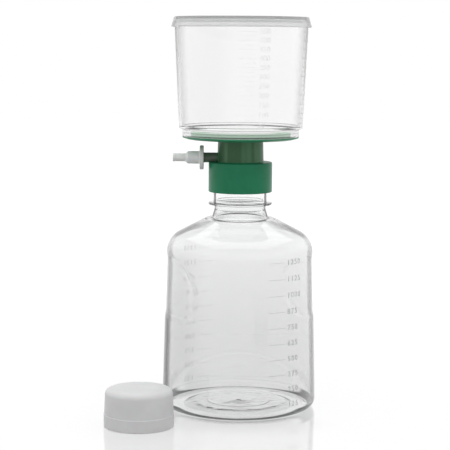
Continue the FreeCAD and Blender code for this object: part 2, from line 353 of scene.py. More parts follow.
@dataclass(frozen=True)
class Scale:
    """A column of moulded graduation lines and numbers on a round wall.

    Attributes:
        bearing: Where the column's numbers stand, in degrees round from the front to +X.
        first: Lowest volume with a line, in mL.
        last: Highest volume with a line, in mL.
        step: Volume between lines, in mL.
        number_step: Volume between lines that are long and have a number.
        digit_height: Height of the digits, in mm.
        line_width: Height of a line, in mm.
        relief: How far lines and digits stand off the wall, in mm.
        long_line: Length of a numbered line.
        short_line: Length of the lines between.
        gap: Space between a line's end and its number, in mm.
        spacing: Spacing of the digits, as a share of the typeface's own.
        root: How far lines and digits reach into the wall, in mm.
        digit_size: Size of the typeface, as a share of the digits' height.
        inset: Start of the numbers left of the column's bearing, as a share of that height.
        parts: Short straight parts that a line bends round the wall in.
    """

    bearing: float
    first: int
    last: int
    step: int
    number_step: int
    digit_height: float
    line_width: float
    relief: float
    long_line: Tick = Tick.LONG
    short_line: Tick = Tick.SHORT
    gap: float = 2.0
    spacing: float = 1.0
    root: float = 0.06
    digit_size: float = 1.42
    inset: float = 1.1
    parts: int = 8

    def wrapped(self, piece: Piece, wall: list[Point], height: float, shift: float) -> Piece:
        """Lays a flat piece on the round wall.

        Args:
            piece: The flat piece: X along the wall, Y up, Z off the wall, in metres.
            wall: The wall's outside, in mm.
            height: Height of the piece's middle, in mm.
            shift: How far the piece lies along the wall from the column's bearing, in mm.

        Returns:
            The piece, in place.
        """
        for vertex in piece.data.vertices:
            u, v, w = vertex.co / MM
            z = height + v
            radius = radius_at(wall, z)
            angle = math.radians(self.bearing) + (u + shift) / radius
            reach = (radius + w) * MM
            vertex.co = (reach * math.sin(angle), -reach * math.cos(angle), z * MM)
        return piece

    def line(self, wall: list[Point], height: float, length: float) -> Piece:
        """Makes one graduation line.

        Args:
            wall: The wall's outside, in mm.
            height: Height of the line, in mm.
            length: Its length, in mm.

        Returns:
            The line, lying on the wall.
        """
        half = self.line_width / 2
        piece = block(
            "line", Vector((-length, -half, -self.root)), Vector((0, half, self.relief))
        )
        bpy.ops.object.mode_set(mode="EDIT")
        for cut in range(1, self.parts):
            bpy.ops.mesh.select_all(action="SELECT")
            bpy.ops.mesh.bisect(
                plane_co=(-length * cut / self.parts * MM, 0, 0), plane_no=(1, 0, 0)
            )
        bpy.ops.object.mode_set(mode="OBJECT")
        return self.wrapped(piece, wall, height, -self.digit_height * self.inset - self.gap)

    def number(self, wall: list[Point], height: float, value: int) -> Piece:
        """Makes one number.

        Args:
            wall: The wall's outside, in mm.
            height: Height of the number's middle, in mm.
            value: What it says.

        Returns:
            The number, lying on the wall.
        """
        deselect()
        bpy.ops.object.text_add(location=(0, 0, 0))
        text = bpy.context.object
        text.data.body = str(value)
        text.data.size = self.digit_height * self.digit_size * MM
        text.data.space_character = self.spacing
        text.data.align_x = "LEFT"
        text.data.align_y = "CENTER"
        text.data.extrude = (self.relief + self.root) / 2 * MM
        text.data.resolution_u = 3
        text.location = (0, 0, (self.relief - self.root) / 2 * MM)
        bpy.ops.object.convert(target="MESH")
        bpy.ops.object.transform_apply(location=True, rotation=True, scale=True)
        return self.wrapped(bpy.context.object, wall, height, -self.digit_height * self.inset)

    def column(self, name: str, wall: list[Point], height_of: Callable[[float], float]) -> Piece:
        """Makes the whole column as one piece.

        Args:
            name: Name of the piece.
            wall: The wall's outside, in mm.
            height_of: Gives the height of a liquid's surface from its volume in mL.

        Returns:
            The column.
        """
        made: list[Piece] = []
        for volume in range(self.first, self.last + 1, self.step):
            height = height_of(volume)
            numbered = volume % self.number_step == 0
            length = self.long_line if numbered else self.short_line
            made.append(self.line(wall, height, length.value))
            if numbered:
                made.append(self.number(wall, height, volume))
        return smoothed(joined(made, name), 30)


def surface_height(wall: list[Point], floor: float, volume: float, below: float = 0.0) -> float:
    """Finds how high a volume of liquid stands in a turned hollow.

    Args:
        wall: The hollow's wall from its floor up, in mm.
        floor: Height of its floor, in mm.
        volume: Volume of liquid, in mL.
        below: Volume that lies under that floor, in mL.

    Returns:
        Height of the liquid's surface, in mm.
    """
    step = 0.1
    height = floor
    held = below
    while held < volume:
        held += math.pi * radius_at(wall, height) ** 2 * step / MM3_PER_ML
        height += step
    return height


# ------------------------------------------------------------------ finishes


def new_material(name: str) -> tuple[Material, Tree]:
    """Makes an empty node material and returns it with its tree."""
    material = bpy.data.materials.new(name)
    material.use_nodes = True
    material.node_tree.nodes.clear()
    return material, material.node_tree


def node(tree: Tree, kind: str, **inputs: object) -> Node:
    """Adds a node and sets or links its inputs.

    Args:
        tree: The tree it goes in.
        kind: The node's type.
        inputs: Values or sockets by input name, with _ for a space.

    Returns:
        The node.
    """
    made = tree.nodes.new(kind)
    for name, value in inputs.items():
        socket = made.inputs[name.replace("_", " ")]
        if isinstance(value, Socket):
            tree.links.new(value, socket)
        else:
            socket.default_value = value
    return made


def math_node(tree: Tree, operation: str, *values: object) -> Socket:
    """Adds a Math node over values or sockets and returns its output."""
    made = tree.nodes.new("ShaderNodeMath")
    made.operation = operation
    for index, value in enumerate(values):
        if isinstance(value, Socket):
            tree.links.new(value, made.inputs[index])
        else:
            made.inputs[index].default_value = value
    return made.outputs[0]


def blended(tree: Tree, share: Socket, first: object, second: object) -> Socket:
    """Mixes two colours or colour sockets by a share and returns the colour."""
    made = tree.nodes.new("ShaderNodeMix")
    made.data_type = "RGBA"
    tree.links.new(share, made.inputs[0])
    for socket, value in ((made.inputs[6], first), (made.inputs[7], second)):
        if isinstance(value, Socket):
            tree.links.new(value, socket)
        else:
            socket.default_value = (*value, 1)
    return made.outputs[2]


def noise(tree: Tree, scale: float, detail: float = 2.0, stretch: Colour = (1, 1, 1)) -> Socket:
    """Adds a noise pattern on Object coordinates.

    Args:
        tree: The tree it goes in.
        scale: Repeats per metre.
        detail: Fineness of the pattern.
        stretch: Scale along each axis.

    Returns:
        The pattern's value, from 0 to 1.
    """
    place = tree.nodes.new("ShaderNodeTexCoord")
    mapping = node(tree, "ShaderNodeMapping", Vector=place.outputs["Object"], Scale=stretch)
    made = node(
        tree, "ShaderNodeTexNoise", Vector=mapping.outputs[0], Scale=scale, Detail=detail
    )
    return made.outputs["Fac"]


def bump(tree: Tree, height: Socket, strength: float, distance: float) -> Socket:
    """Adds a bump over a height pattern and returns the normal."""
    return node(
        tree, "ShaderNodeBump", Height=height, Strength=strength, Distance=distance
    ).outputs[0]


def ramp(tree: Tree, value: Socket, low: float, high: float) -> Socket:
    """Maps a value from low to high onto 0 to 1, clamped and smooth."""
    made = tree.nodes.new("ShaderNodeMapRange")
    made.interpolation_type = "SMOOTHSTEP"
    tree.links.new(value, made.inputs["Value"])
    made.inputs["From Min"].default_value = low
    made.inputs["From Max"].default_value = high
    return made.outputs[0]


def mixed(tree: Tree, share: Socket, first: Node, second: Node) -> Socket:
    """Mixes two shaders by a share and returns the mix."""
    made = node(tree, "ShaderNodeMixShader", Fac=share)
    tree.links.new(first.outputs[0], made.inputs[1])
    tree.links.new(second.outputs[0], made.inputs[2])
    return made.outputs[0]


@dataclass(frozen=True)
class Spot:
    """Where a shaded point lies, as sockets, in metres.

    Attributes:
        x: Its place from left to right.
        y: Its place from front to back.
        z: Its height.
        away: Its distance from the centre line.
    """

    x: Socket
    y: Socket
    z: Socket
    away: Socket


def spot(tree: Tree) -> Spot:
    """Reads where a shaded point lies."""
    place = tree.nodes.new("ShaderNodeTexCoord")
    x, y, z = node(tree, "ShaderNodeSeparateXYZ", Vector=place.outputs["Object"]).outputs
    flat = node(tree, "ShaderNodeCombineXYZ", X=x, Y=y)
    away = node(tree, "ShaderNodeVectorMath", Vector=flat.outputs[0])
    away.operation = "LENGTH"
    return Spot(x, y, z, away.outputs["Value"])


@dataclass(frozen=True)
class WallTint:
    """How a clear wall's tint turns with the angle at which it is seen.

    A hollow wall looks darkest just inside its outline, where light runs along the wall, and
    clear again at the outline itself.

    Attributes:
        face: Tint seen square on, linear.
        edge: Tint where light runs along the wall.
        edge_from: Angle from square on at which the tint starts to darken, in degrees.
        edge_at: Angle at which it is darkest, in degrees.
        edge_to: Angle at which it starts to clear again, in degrees.
        clear_at: Angle at which it is clear again, in degrees.
    """

    face: Colour
    edge: Colour
    edge_from: float
    edge_at: float
    edge_to: float = 83.0
    clear_at: float = 90.0

    def curve(self, tree: Tree) -> Socket:
        """Builds the tint's colour."""
        facing = node(tree, "ShaderNodeLayerWeight", Blend=0.5).outputs["Facing"]
        turns = (self.edge_from, self.edge_at, self.edge_to, self.clear_at)
        start, peak, end, clear = (1 - math.cos(math.radians(turn)) for turn in turns)
        made = node(tree, "ShaderNodeValToRGB", Fac=facing)
        made.color_ramp.interpolation = "EASE"
        stops = (
            (0.0, self.face),
            (start, self.face),
            (peak, self.edge),
            (end, self.edge),
            (clear, WHITE),
        )
        elements = made.color_ramp.elements
        while len(elements) < len(stops):
            elements.new(1.0)
        for element, (place, colour) in zip(elements, stops):
            element.position = place
            element.color = (*colour, 1)
        return made.outputs[0]


@dataclass(frozen=True)
class Zone:
    """Part of a clear wall with its own tint. A limit of 1 metre or more is no limit.

    Attributes:
        tint: Tint of the zone.
        low: Height at which it starts, in metres.
        high: Height at which it ends, in metres.
        inner: Distance from the centre line at which it starts, in metres.
        outer: Distance from the centre line at which it ends, in metres.
        right: X at which it ends, in metres.
        soft: Width over which it fades at its limits, in metres.
    """

    tint: WallTint
    low: float = -1.0
    high: float = 1.0
    inner: float = -1.0
    outer: float = 1.0
    right: float = 1.0
    soft: float = 0.002

    def share(self, tree: Tree) -> Socket:
        """Builds the zone's share of the tint at each place."""
        here = spot(tree)
        limits = (
            (here.z, self.low, self.high),
            (here.away, self.inner, self.outer),
            (here.x, -1.0, self.right),
        )
        share = None
        for value, start, end in limits:
            for limit, side in ((start, 0.5), (end, -0.5)):
                if abs(limit) < 1:
                    reach = side * self.soft
                    part = ramp(tree, value, limit - reach, limit + reach)
                    share = part if share is None else math_node(tree, "MULTIPLY", share, part)
        return share


@dataclass(frozen=True)
class ClearPlastic:
    """Clear moulded or blown polystyrene.

    Attributes:
        name: Name of the material.
        tint: Tint of the wall.
        zones: Parts of the wall with a tint of their own.
        roughness: Surface roughness.
        waviness: Strength of the wall's slow waves.
        wave_scale: Waves per metre.
        wave_stretch: Scale of the waves along each axis.
        wave_depth: Depth of the waves, in metres.
        rippled: Part of the wall that has short ripples besides.
        ripple_scale: Ripples per metre.
        ripple_share: Depth of the ripples, as a share of the waves'.
        shadow: Tint that light keeps in passing.
    """

    name: str
    tint: WallTint
    zones: tuple[Zone, ...] = ()
    roughness: float = 0.02
    waviness: float = 0.1
    wave_scale: float = 30.0
    wave_stretch: Colour = (1, 1, 0.6)
    wave_depth: float = 0.0004
    rippled: Zone | None = None
    ripple_scale: float = 130.0
    ripple_share: float = 3.0
    shadow: Colour = (0.93, 0.94, 0.94)

    def colour_socket(self, tree: Tree) -> Socket:
        """Builds the tint at each place."""
        tint = self.tint.curve(tree)
        for zone in self.zones:
            tint = blended(tree, zone.share(tree), tint, zone.tint.curve(tree))
        return tint

    def material(self) -> Material:
        """Builds the material."""
        made, tree = new_material(self.name)
        waves = noise(tree, self.wave_scale, 1.0, self.wave_stretch)
        if self.rippled is not None:
            short = noise(tree, self.ripple_scale, 1.0)
            short = math_node(tree, "MULTIPLY", short, self.rippled.share(tree))
            short = math_node(tree, "MULTIPLY", short, self.ripple_share)
            waves = math_node(tree, "ADD", waves, short)
        glass = node(
            tree,
            "ShaderNodeBsdfPrincipled",
            Base_Color=self.colour_socket(tree),
            Roughness=self.roughness,
            IOR=PLASTIC_IOR,
            Transmission_Weight=1.0,
            Normal=bump(tree, waves, self.waviness, self.wave_depth),
        )
        through = node(tree, "ShaderNodeBsdfTransparent", Color=(*self.shadow, 1))
        path = tree.nodes.new("ShaderNodeLightPath")
        passing = math_node(
            tree, "MAXIMUM", path.outputs["Is Shadow Ray"], path.outputs["Is Diffuse Ray"]
        )
        surface = mixed(tree, passing, glass, through)
        node(tree, "ShaderNodeOutputMaterial", Surface=surface)
        return made


@dataclass(frozen=True)
class MouldedPlastic:
    """Opaque moulded plastic with a fine moulded grain.

    Attributes:
        name: Name of the material.
        colour: Main colour, linear.
        shade: Second colour, which the first drifts to in soft clouds.
        roughness: Mean roughness.
        spread: How far the roughness drifts either way.
        spread_scale: Drifts of the roughness per metre.
        cloud_scale: Clouds per metre.
        cloud_edges: Values of the clouds' pattern between which one colour turns to the other.
        grain: Strength of the fine grain.
        grain_scale: Grains per metre.
        grain_depth: Depth of the grain, in metres.
        glow: Share of light that scatters inside.
        glow_depth: How deep light scatters, in metres.
        shine: Strength of the surface's reflections, 0.5 as a plain plastic.
    """

    name: str
    colour: Colour
    shade: Colour
    roughness: float = 0.4
    spread: float = 0.06
    spread_scale: float = 240.0
    cloud_scale: float = 60.0
    cloud_edges: Point = (0.35, 0.65)
    grain: float = 0.12
    grain_scale: float = 2600.0
    grain_depth: float = 0.00005
    glow: float = 0.0
    glow_depth: float = 0.003
    shine: float = 0.5

    def colour_socket(self, tree: Tree) -> Socket:
        """Builds the colour, with its soft clouds."""
        clouds = ramp(tree, noise(tree, self.cloud_scale, 3), *self.cloud_edges)
        return blended(tree, clouds, self.colour, self.shade)

    def material(self) -> Material:
        """Builds the material."""
        made, tree = new_material(self.name)
        roughness = node(
            tree,
            "ShaderNodeMapRange",
            Value=noise(tree, self.spread_scale, 4),
            To_Min=self.roughness - self.spread,
            To_Max=self.roughness + self.spread,
        ).outputs[0]
        grains = noise(tree, self.grain_scale, 2)
        body = node(
            tree,
            "ShaderNodeBsdfPrincipled",
            Base_Color=self.colour_socket(tree),
            Roughness=roughness,
            IOR=PLASTIC_IOR,
            Specular_IOR_Level=self.shine,
            Subsurface_Weight=self.glow,
            Subsurface_Scale=self.glow_depth,
            Normal=bump(tree, grains, self.grain, self.grain_depth),
        )
        node(tree, "ShaderNodeOutputMaterial", Surface=body.outputs[0])
        return made


@dataclass(frozen=True)
class Band:
    """A height from which a moulding has another colour.

    Attributes:
        start: Height at which the colour starts, in metres.
        full: Height from which it is full, in metres.
        colour: The colour, linear.
    """

    start: float
    full: float
    colour: Colour


# Painted light: the plate's outer edge is a brighter green, as if it caught light from the
# front.
PAINTED_RIM_LIGHT = Band(0.2111, 0.2113, (0.034, 0.275, 0.130))
FLOOR_PALE = Band(0.21295, 0.21305, (0.42, 0.56, 0.46))
# Painted shade: a dark band at the locating ring, where shade falls in the groove inside the
# skirt.
PAINTED_GROOVE_SHADE = Band(0.2136, 0.2138, (0.02, 0.05, 0.03))
CROWN_PALE = Band(0.2143, 0.2145, (0.66, 0.86, 0.69))


@dataclass(frozen=True)
class BasePlastic(MouldedPlastic):
    """Green moulded plastic: greyer round the hollow stem, paler inside the clear skirt.

    Attributes:
        bands: Plate colours from its rim up to the ring round the film, among them painted light
            and shade.
        stem_colour: Colour of the stem, linear.
        streak_colour: Painted highlights on the stem: paler upright streaks, linear.
        streak_scale: Painted highlight streaks per metre.
        streak_stretch: Scale of the painted highlight streaks along each axis.
        streak_edges: Pattern values at which the painted highlights start and are full.
        spigot_colour: Colour of the spigot, linear.
        stem_foot: Heights at which the stem's colour starts and is full, in metres.
        stem_top: Heights at which it has gone and is still full, in metres.
        spigot: Distances from the centre line at which the spigot's colour starts and is full.
    """

    bands: tuple[Band, ...] = (PAINTED_RIM_LIGHT, FLOOR_PALE, PAINTED_GROOVE_SHADE, CROWN_PALE)
    stem_colour: Colour = (0.065, 0.165, 0.080)
    streak_colour: Colour = (0.110, 0.250, 0.135)
    streak_scale: float = 120.0
    streak_stretch: Colour = (1, 1, 0.02)
    streak_edges: Point = (0.48, 0.62)
    spigot_colour: Colour = (0.150, 0.184, 0.140)
    stem_foot: Point = (0.1933, 0.1939)
    stem_top: Point = (0.2096, 0.2088)
    spigot: Point = (0.0183, 0.0193)

    def colour_socket(self, tree: Tree) -> Socket:
        """Builds the colour, with its zones."""
        here = spot(tree)
        above_foot = ramp(tree, here.z, *self.stem_foot)
        under_top = ramp(tree, here.z, *self.stem_top)
        # Painted highlights: paler upright streaks on the stem that stand in for its
        # reflections.
        painted_highlights = noise(tree, self.streak_scale, 1.0, self.streak_stretch)
        painted_highlights = ramp(tree, painted_highlights, *self.streak_edges)
        stem = blended(tree, painted_highlights, self.stem_colour, self.streak_colour)
        stem = blended(tree, ramp(tree, here.away, *self.spigot), stem, self.spigot_colour)
        colour = MouldedPlastic.colour_socket(self, tree)
        colour = blended(tree, math_node(tree, "MULTIPLY", above_foot, under_top), colour, stem)
        for band in self.bands:
            share = ramp(tree, here.z, band.start, band.full)
            colour = blended(tree, share, colour, band.colour)
        return colour


@dataclass(frozen=True)
class TranslucentPlastic:
    """Thin greyish plastic that blurs what is behind it, greyer where it is thicker.

    Attributes:
        name: Name of the material.
        wall: Tint of the thin wall.
        thick: Tint of the thick rims.
        band: Heights between which the wall is thin, in metres.
        soft: Half the height over which the tint turns at each end of the band, in metres.
        roughness: How much it blurs.
        clearness: Share of light that passes.
        grain: Strength of the fine grain.
        grain_scale: Grains per metre.
        grain_depth: Depth of the grain, in metres.
    """

    name: str
    wall: WallTint
    thick: WallTint
    band: Point
    soft: Point = (0.0002, 0.0003)
    roughness: float = 0.12
    clearness: float = 0.55
    grain: float = 0.1
    grain_scale: float = 900.0
    grain_depth: float = 0.0001

    def material(self) -> Material:
        """Builds the material."""
        made, tree = new_material(self.name)
        grains = noise(tree, self.grain_scale, 3)
        height = spot(tree).z
        low, high = self.band
        at_low, at_high = self.soft
        above = ramp(tree, height, low - at_low, low + at_low)
        under = ramp(tree, height, high + at_high, high - at_high)
        thin = math_node(tree, "MULTIPLY", above, under)
        body = node(
            tree,
            "ShaderNodeBsdfPrincipled",
            Base_Color=blended(tree, thin, self.thick.curve(tree), self.wall.curve(tree)),
            Roughness=self.roughness,
            IOR=PLASTIC_IOR,
            Transmission_Weight=self.clearness,
            Normal=bump(tree, grains, self.grain, self.grain_depth),
        )
        through = node(tree, "ShaderNodeBsdfTransparent", Color=(*self.wall.face, 1))
        path = tree.nodes.new("ShaderNodeLightPath")
        surface = mixed(tree, path.outputs["Is Shadow Ray"], body, through)
        node(tree, "ShaderNodeOutputMaterial", Surface=surface)
        return made


@dataclass(frozen=True)
class Fibre:
    """Matt fibrous material, such as filter film or pressed cotton.

    Attributes:
        name: Name of the material.
        colour: Colour, linear.
        shade: Colour in the hollows between fibres.
        scale: Fibres per metre.
        depth: Depth of the hollows, in metres.
        roughness: Surface roughness.
        nap: Strength of the hollows and fibres.
        edges: Values of the fibres' pattern between which one colour turns to the other.
    """

    name: str
    colour: Colour
    shade: Colour
    scale: float
    depth: float
    roughness: float = 0.85
    nap: float = 0.5
    edges: Point = (0.35, 0.6)

    def material(self) -> Material:
        """Builds the material."""
        made, tree = new_material(self.name)
        fibres = noise(tree, self.scale, 6)
        raised = ramp(tree, fibres, *self.edges)
        body = node(
            tree,
            "ShaderNodeBsdfPrincipled",
            Base_Color=blended(tree, raised, self.shade, self.colour),
            Roughness=self.roughness,
            Normal=bump(tree, fibres, self.nap, self.depth),
        )
        node(tree, "ShaderNodeOutputMaterial", Surface=body.outputs[0])
        return made


BODY_WALL = WallTint((0.83, 0.832, 0.832), (0.13, 0.132, 0.132), 71.5, 76.5)
HEEL_WALL = WallTint((0.85, 0.852, 0.852), (0.02, 0.021, 0.021), 50.0, 58.0, 89.5)
FOOT_WALL = WallTint((1.0, 1.0, 1.0), (0.97, 0.97, 0.97), 60.0, 75.0)
SHOULDER_WALL = WallTint((0.99, 0.995, 0.995), (0.55, 0.552, 0.552), 74.0, 79.0, 84.0, 89.0)
NECK_OUTSIDE = WallTint((0.93, 0.935, 0.935), (0.01, 0.011, 0.011), 62.0, 66.0, 76.0, 81.0)
NECK_ROOT = WallTint((0.84, 0.845, 0.845), (0.04, 0.042, 0.042), 66.0, 72.0)
RING_WALL = WallTint((0.25, 0.255, 0.255), (0.03, 0.032, 0.032), 45.0, 60.0)
STEP_WALL = WallTint((0.30, 0.305, 0.305), (0.08, 0.082, 0.082), 45.0, 60.0)
CONE_WALL = WallTint((0.985, 0.988, 0.988), (0.07, 0.072, 0.072), 70.0, 77.0, 86.0)
NECK_HOLLOW = WallTint((0.97, 0.975, 0.975), (0.97, 0.975, 0.975), 63.0, 68.0)
ROOT_HOLLOW = WallTint((0.93, 0.932, 0.932), (0.75, 0.752, 0.752), 66.0, 72.0)
FUNNEL_WALL = WallTint((0.93, 0.93, 0.93), (0.60, 0.60, 0.60), 57.0, 77.0, 81.0)
LEDGE_WALL = WallTint((0.96, 0.96, 0.96), (0.86, 0.86, 0.86), 50.0, 76.0, 80.0)
SEAM_WALL = WallTint((0.55, 0.555, 0.55), (0.40, 0.40, 0.40), 50.0, 76.0, 89.0)
CORNER_WALL = WallTint((0.55, 0.55, 0.55), (0.40, 0.40, 0.40), 50.0, 76.0, 89.0)
PALE_RELIEF = WallTint((0.62, 0.625, 0.625), (0.50, 0.50, 0.50), 60.0, 80.0)
THIN_RELIEF = WallTint((0.80, 0.802, 0.802), (0.70, 0.70, 0.70), 60.0, 80.0)
FAINT_RELIEF = WallTint((0.92, 0.922, 0.922), (0.10, 0.102, 0.102), 50.0, 75.0)
# Painted shade: darker tints for the bottle's left side and its outline, as if turned from the
# light.
PAINTED_SHADE_WALL = WallTint((0.775, 0.777, 0.777), (0.13, 0.132, 0.132), 70.0, 76.0)
PAINTED_SHADE_EDGE = WallTint((0.785, 0.787, 0.787), (0.02, 0.021, 0.021), 67.0, 74.0, 85.0)
# Painted shade: a darker tint for the funnel's left side, as if turned from the light.
FUNNEL_PAINTED_SHADE = WallTint((0.91, 0.91, 0.91), (0.60, 0.60, 0.60), 55.0, 77.0, 81.0)
BOTTLE_CLEAR = ClearPlastic(
    "bottle_clear",
    BODY_WALL,
    (
        # Painted shade on the bottle's left side and its outline there.
        Zone(PAINTED_SHADE_WALL, low=0.02, high=0.131, right=-0.037, soft=0.03),
        Zone(PAINTED_SHADE_EDGE, low=0.008, high=0.073, right=-0.050, soft=0.004),
        Zone(FOOT_WALL, high=0.006, outer=0.0546, soft=0.001),
        Zone(HEEL_WALL, high=0.0065, inner=0.0546, soft=0.001),
        Zone(SHOULDER_WALL, low=0.127, soft=0.018),
        Zone(CONE_WALL, low=0.1350, high=0.1460, soft=0.004),
        Zone(NECK_ROOT, low=0.1503, high=0.1605, inner=0.0195, soft=0.001),
        Zone(NECK_OUTSIDE, low=0.1605, inner=0.0197, soft=0.001),
        Zone(ROOT_HOLLOW, low=0.1475, high=0.161, outer=0.0195, soft=0.001),
        Zone(NECK_HOLLOW, low=0.161, outer=0.0197, soft=0.001),
        Zone(RING_WALL, low=0.1595, high=0.1604, inner=0.0225, soft=0.0004),
        Zone(STEP_WALL, low=0.1632, high=0.1639, outer=0.0197, soft=0.0003),
        Zone(STEP_WALL, low=0.1611, high=0.1617, outer=0.0197, soft=0.0003),
    ),
    rippled=Zone(FOOT_WALL, high=0.012, soft=0.008),
)
CHAMBER_CLEAR = ClearPlastic(
    "chamber_clear",
    FUNNEL_WALL,
    (
        # Painted shade on the funnel's left side.
        Zone(FUNNEL_PAINTED_SHADE, right=-0.012, soft=0.02),
        Zone(LEDGE_WALL, high=0.2222, soft=0.0008),
        Zone(SEAM_WALL, low=0.2211, high=0.2217, outer=0.0465, soft=0.0002),
        Zone(CORNER_WALL, low=0.2190, high=0.2199, inner=0.0474, soft=0.0003),
        Zone(SEAM_WALL, low=0.2160, high=0.2166, inner=0.0449, soft=0.0002),
    ),
    waviness=0.05,
)
BOTTLE_RELIEF = ClearPlastic("bottle_relief", PALE_RELIEF, roughness=0.12, waviness=0.0)
BACK_RELIEF = ClearPlastic("back_relief", THIN_RELIEF, roughness=0.12, waviness=0.0)
CHAMBER_RELIEF = ClearPlastic("chamber_relief", FAINT_RELIEF, roughness=0.1, waviness=0.0)
LID_WALL = WallTint((0.97, 0.972, 0.975), (0.45, 0.455, 0.455), 68.0, 77.0, 86.0)
LID_RIM = WallTint((0.58, 0.585, 0.585), (0.40, 0.405, 0.405), 68.0, 77.0, 86.0)
LID_GREY = TranslucentPlastic("lid_grey", LID_WALL, LID_RIM, (0.2970, 0.3030))
BASE_GREEN = BasePlastic(
    "base_green", (0.017, 0.225, 0.106), (0.015, 0.205, 0.096), roughness=0.36, shine=0.22
)
CAP_WHITE = MouldedPlastic(
    "cap_white", (0.77, 0.772, 0.775), (0.735, 0.737, 0.74), roughness=0.45, glow=0.15
)
ADAPTER_WHITE = MouldedPlastic(
    "adapter_white", (0.94, 0.94, 0.925), (0.91, 0.91, 0.895), roughness=0.42, glow=0.1
)
SEAL_GREY = MouldedPlastic(
    "seal_grey", (0.55, 0.56, 0.55), (0.50, 0.51, 0.50), roughness=0.65
)
MEMBRANE_WHITE = Fibre("membrane_white", (0.88, 0.88, 0.86), (0.80, 0.80, 0.78), 5200, 0.00004)
COTTON = Fibre("cotton", (0.86, 0.85, 0.82), (0.62, 0.61, 0.58), 1800, 0.0003)


def dressed(piece: Piece, material: Material) -> Piece:
    """Gives a piece one material in place of what it had."""
    piece.data.materials.clear()
    piece.data.materials.append(material)
    return piece


def hand_over(piece: Piece, body: str, slot: str, *nodes: str) -> None:
    """Puts a finished piece on its body.

    Args:
        piece: The piece.
        body: The body it rides on.
        slot: Name of a material slot; not used.
        nodes: The CAD nodes that it stands for.
    """
    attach(piece, body)
    if nodes:
        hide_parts(*nodes)
    LOG.info("%s: %d faces on %s", piece.name, len(piece.data.polygons), body)


# ------------------------------------------------------------------ the unit


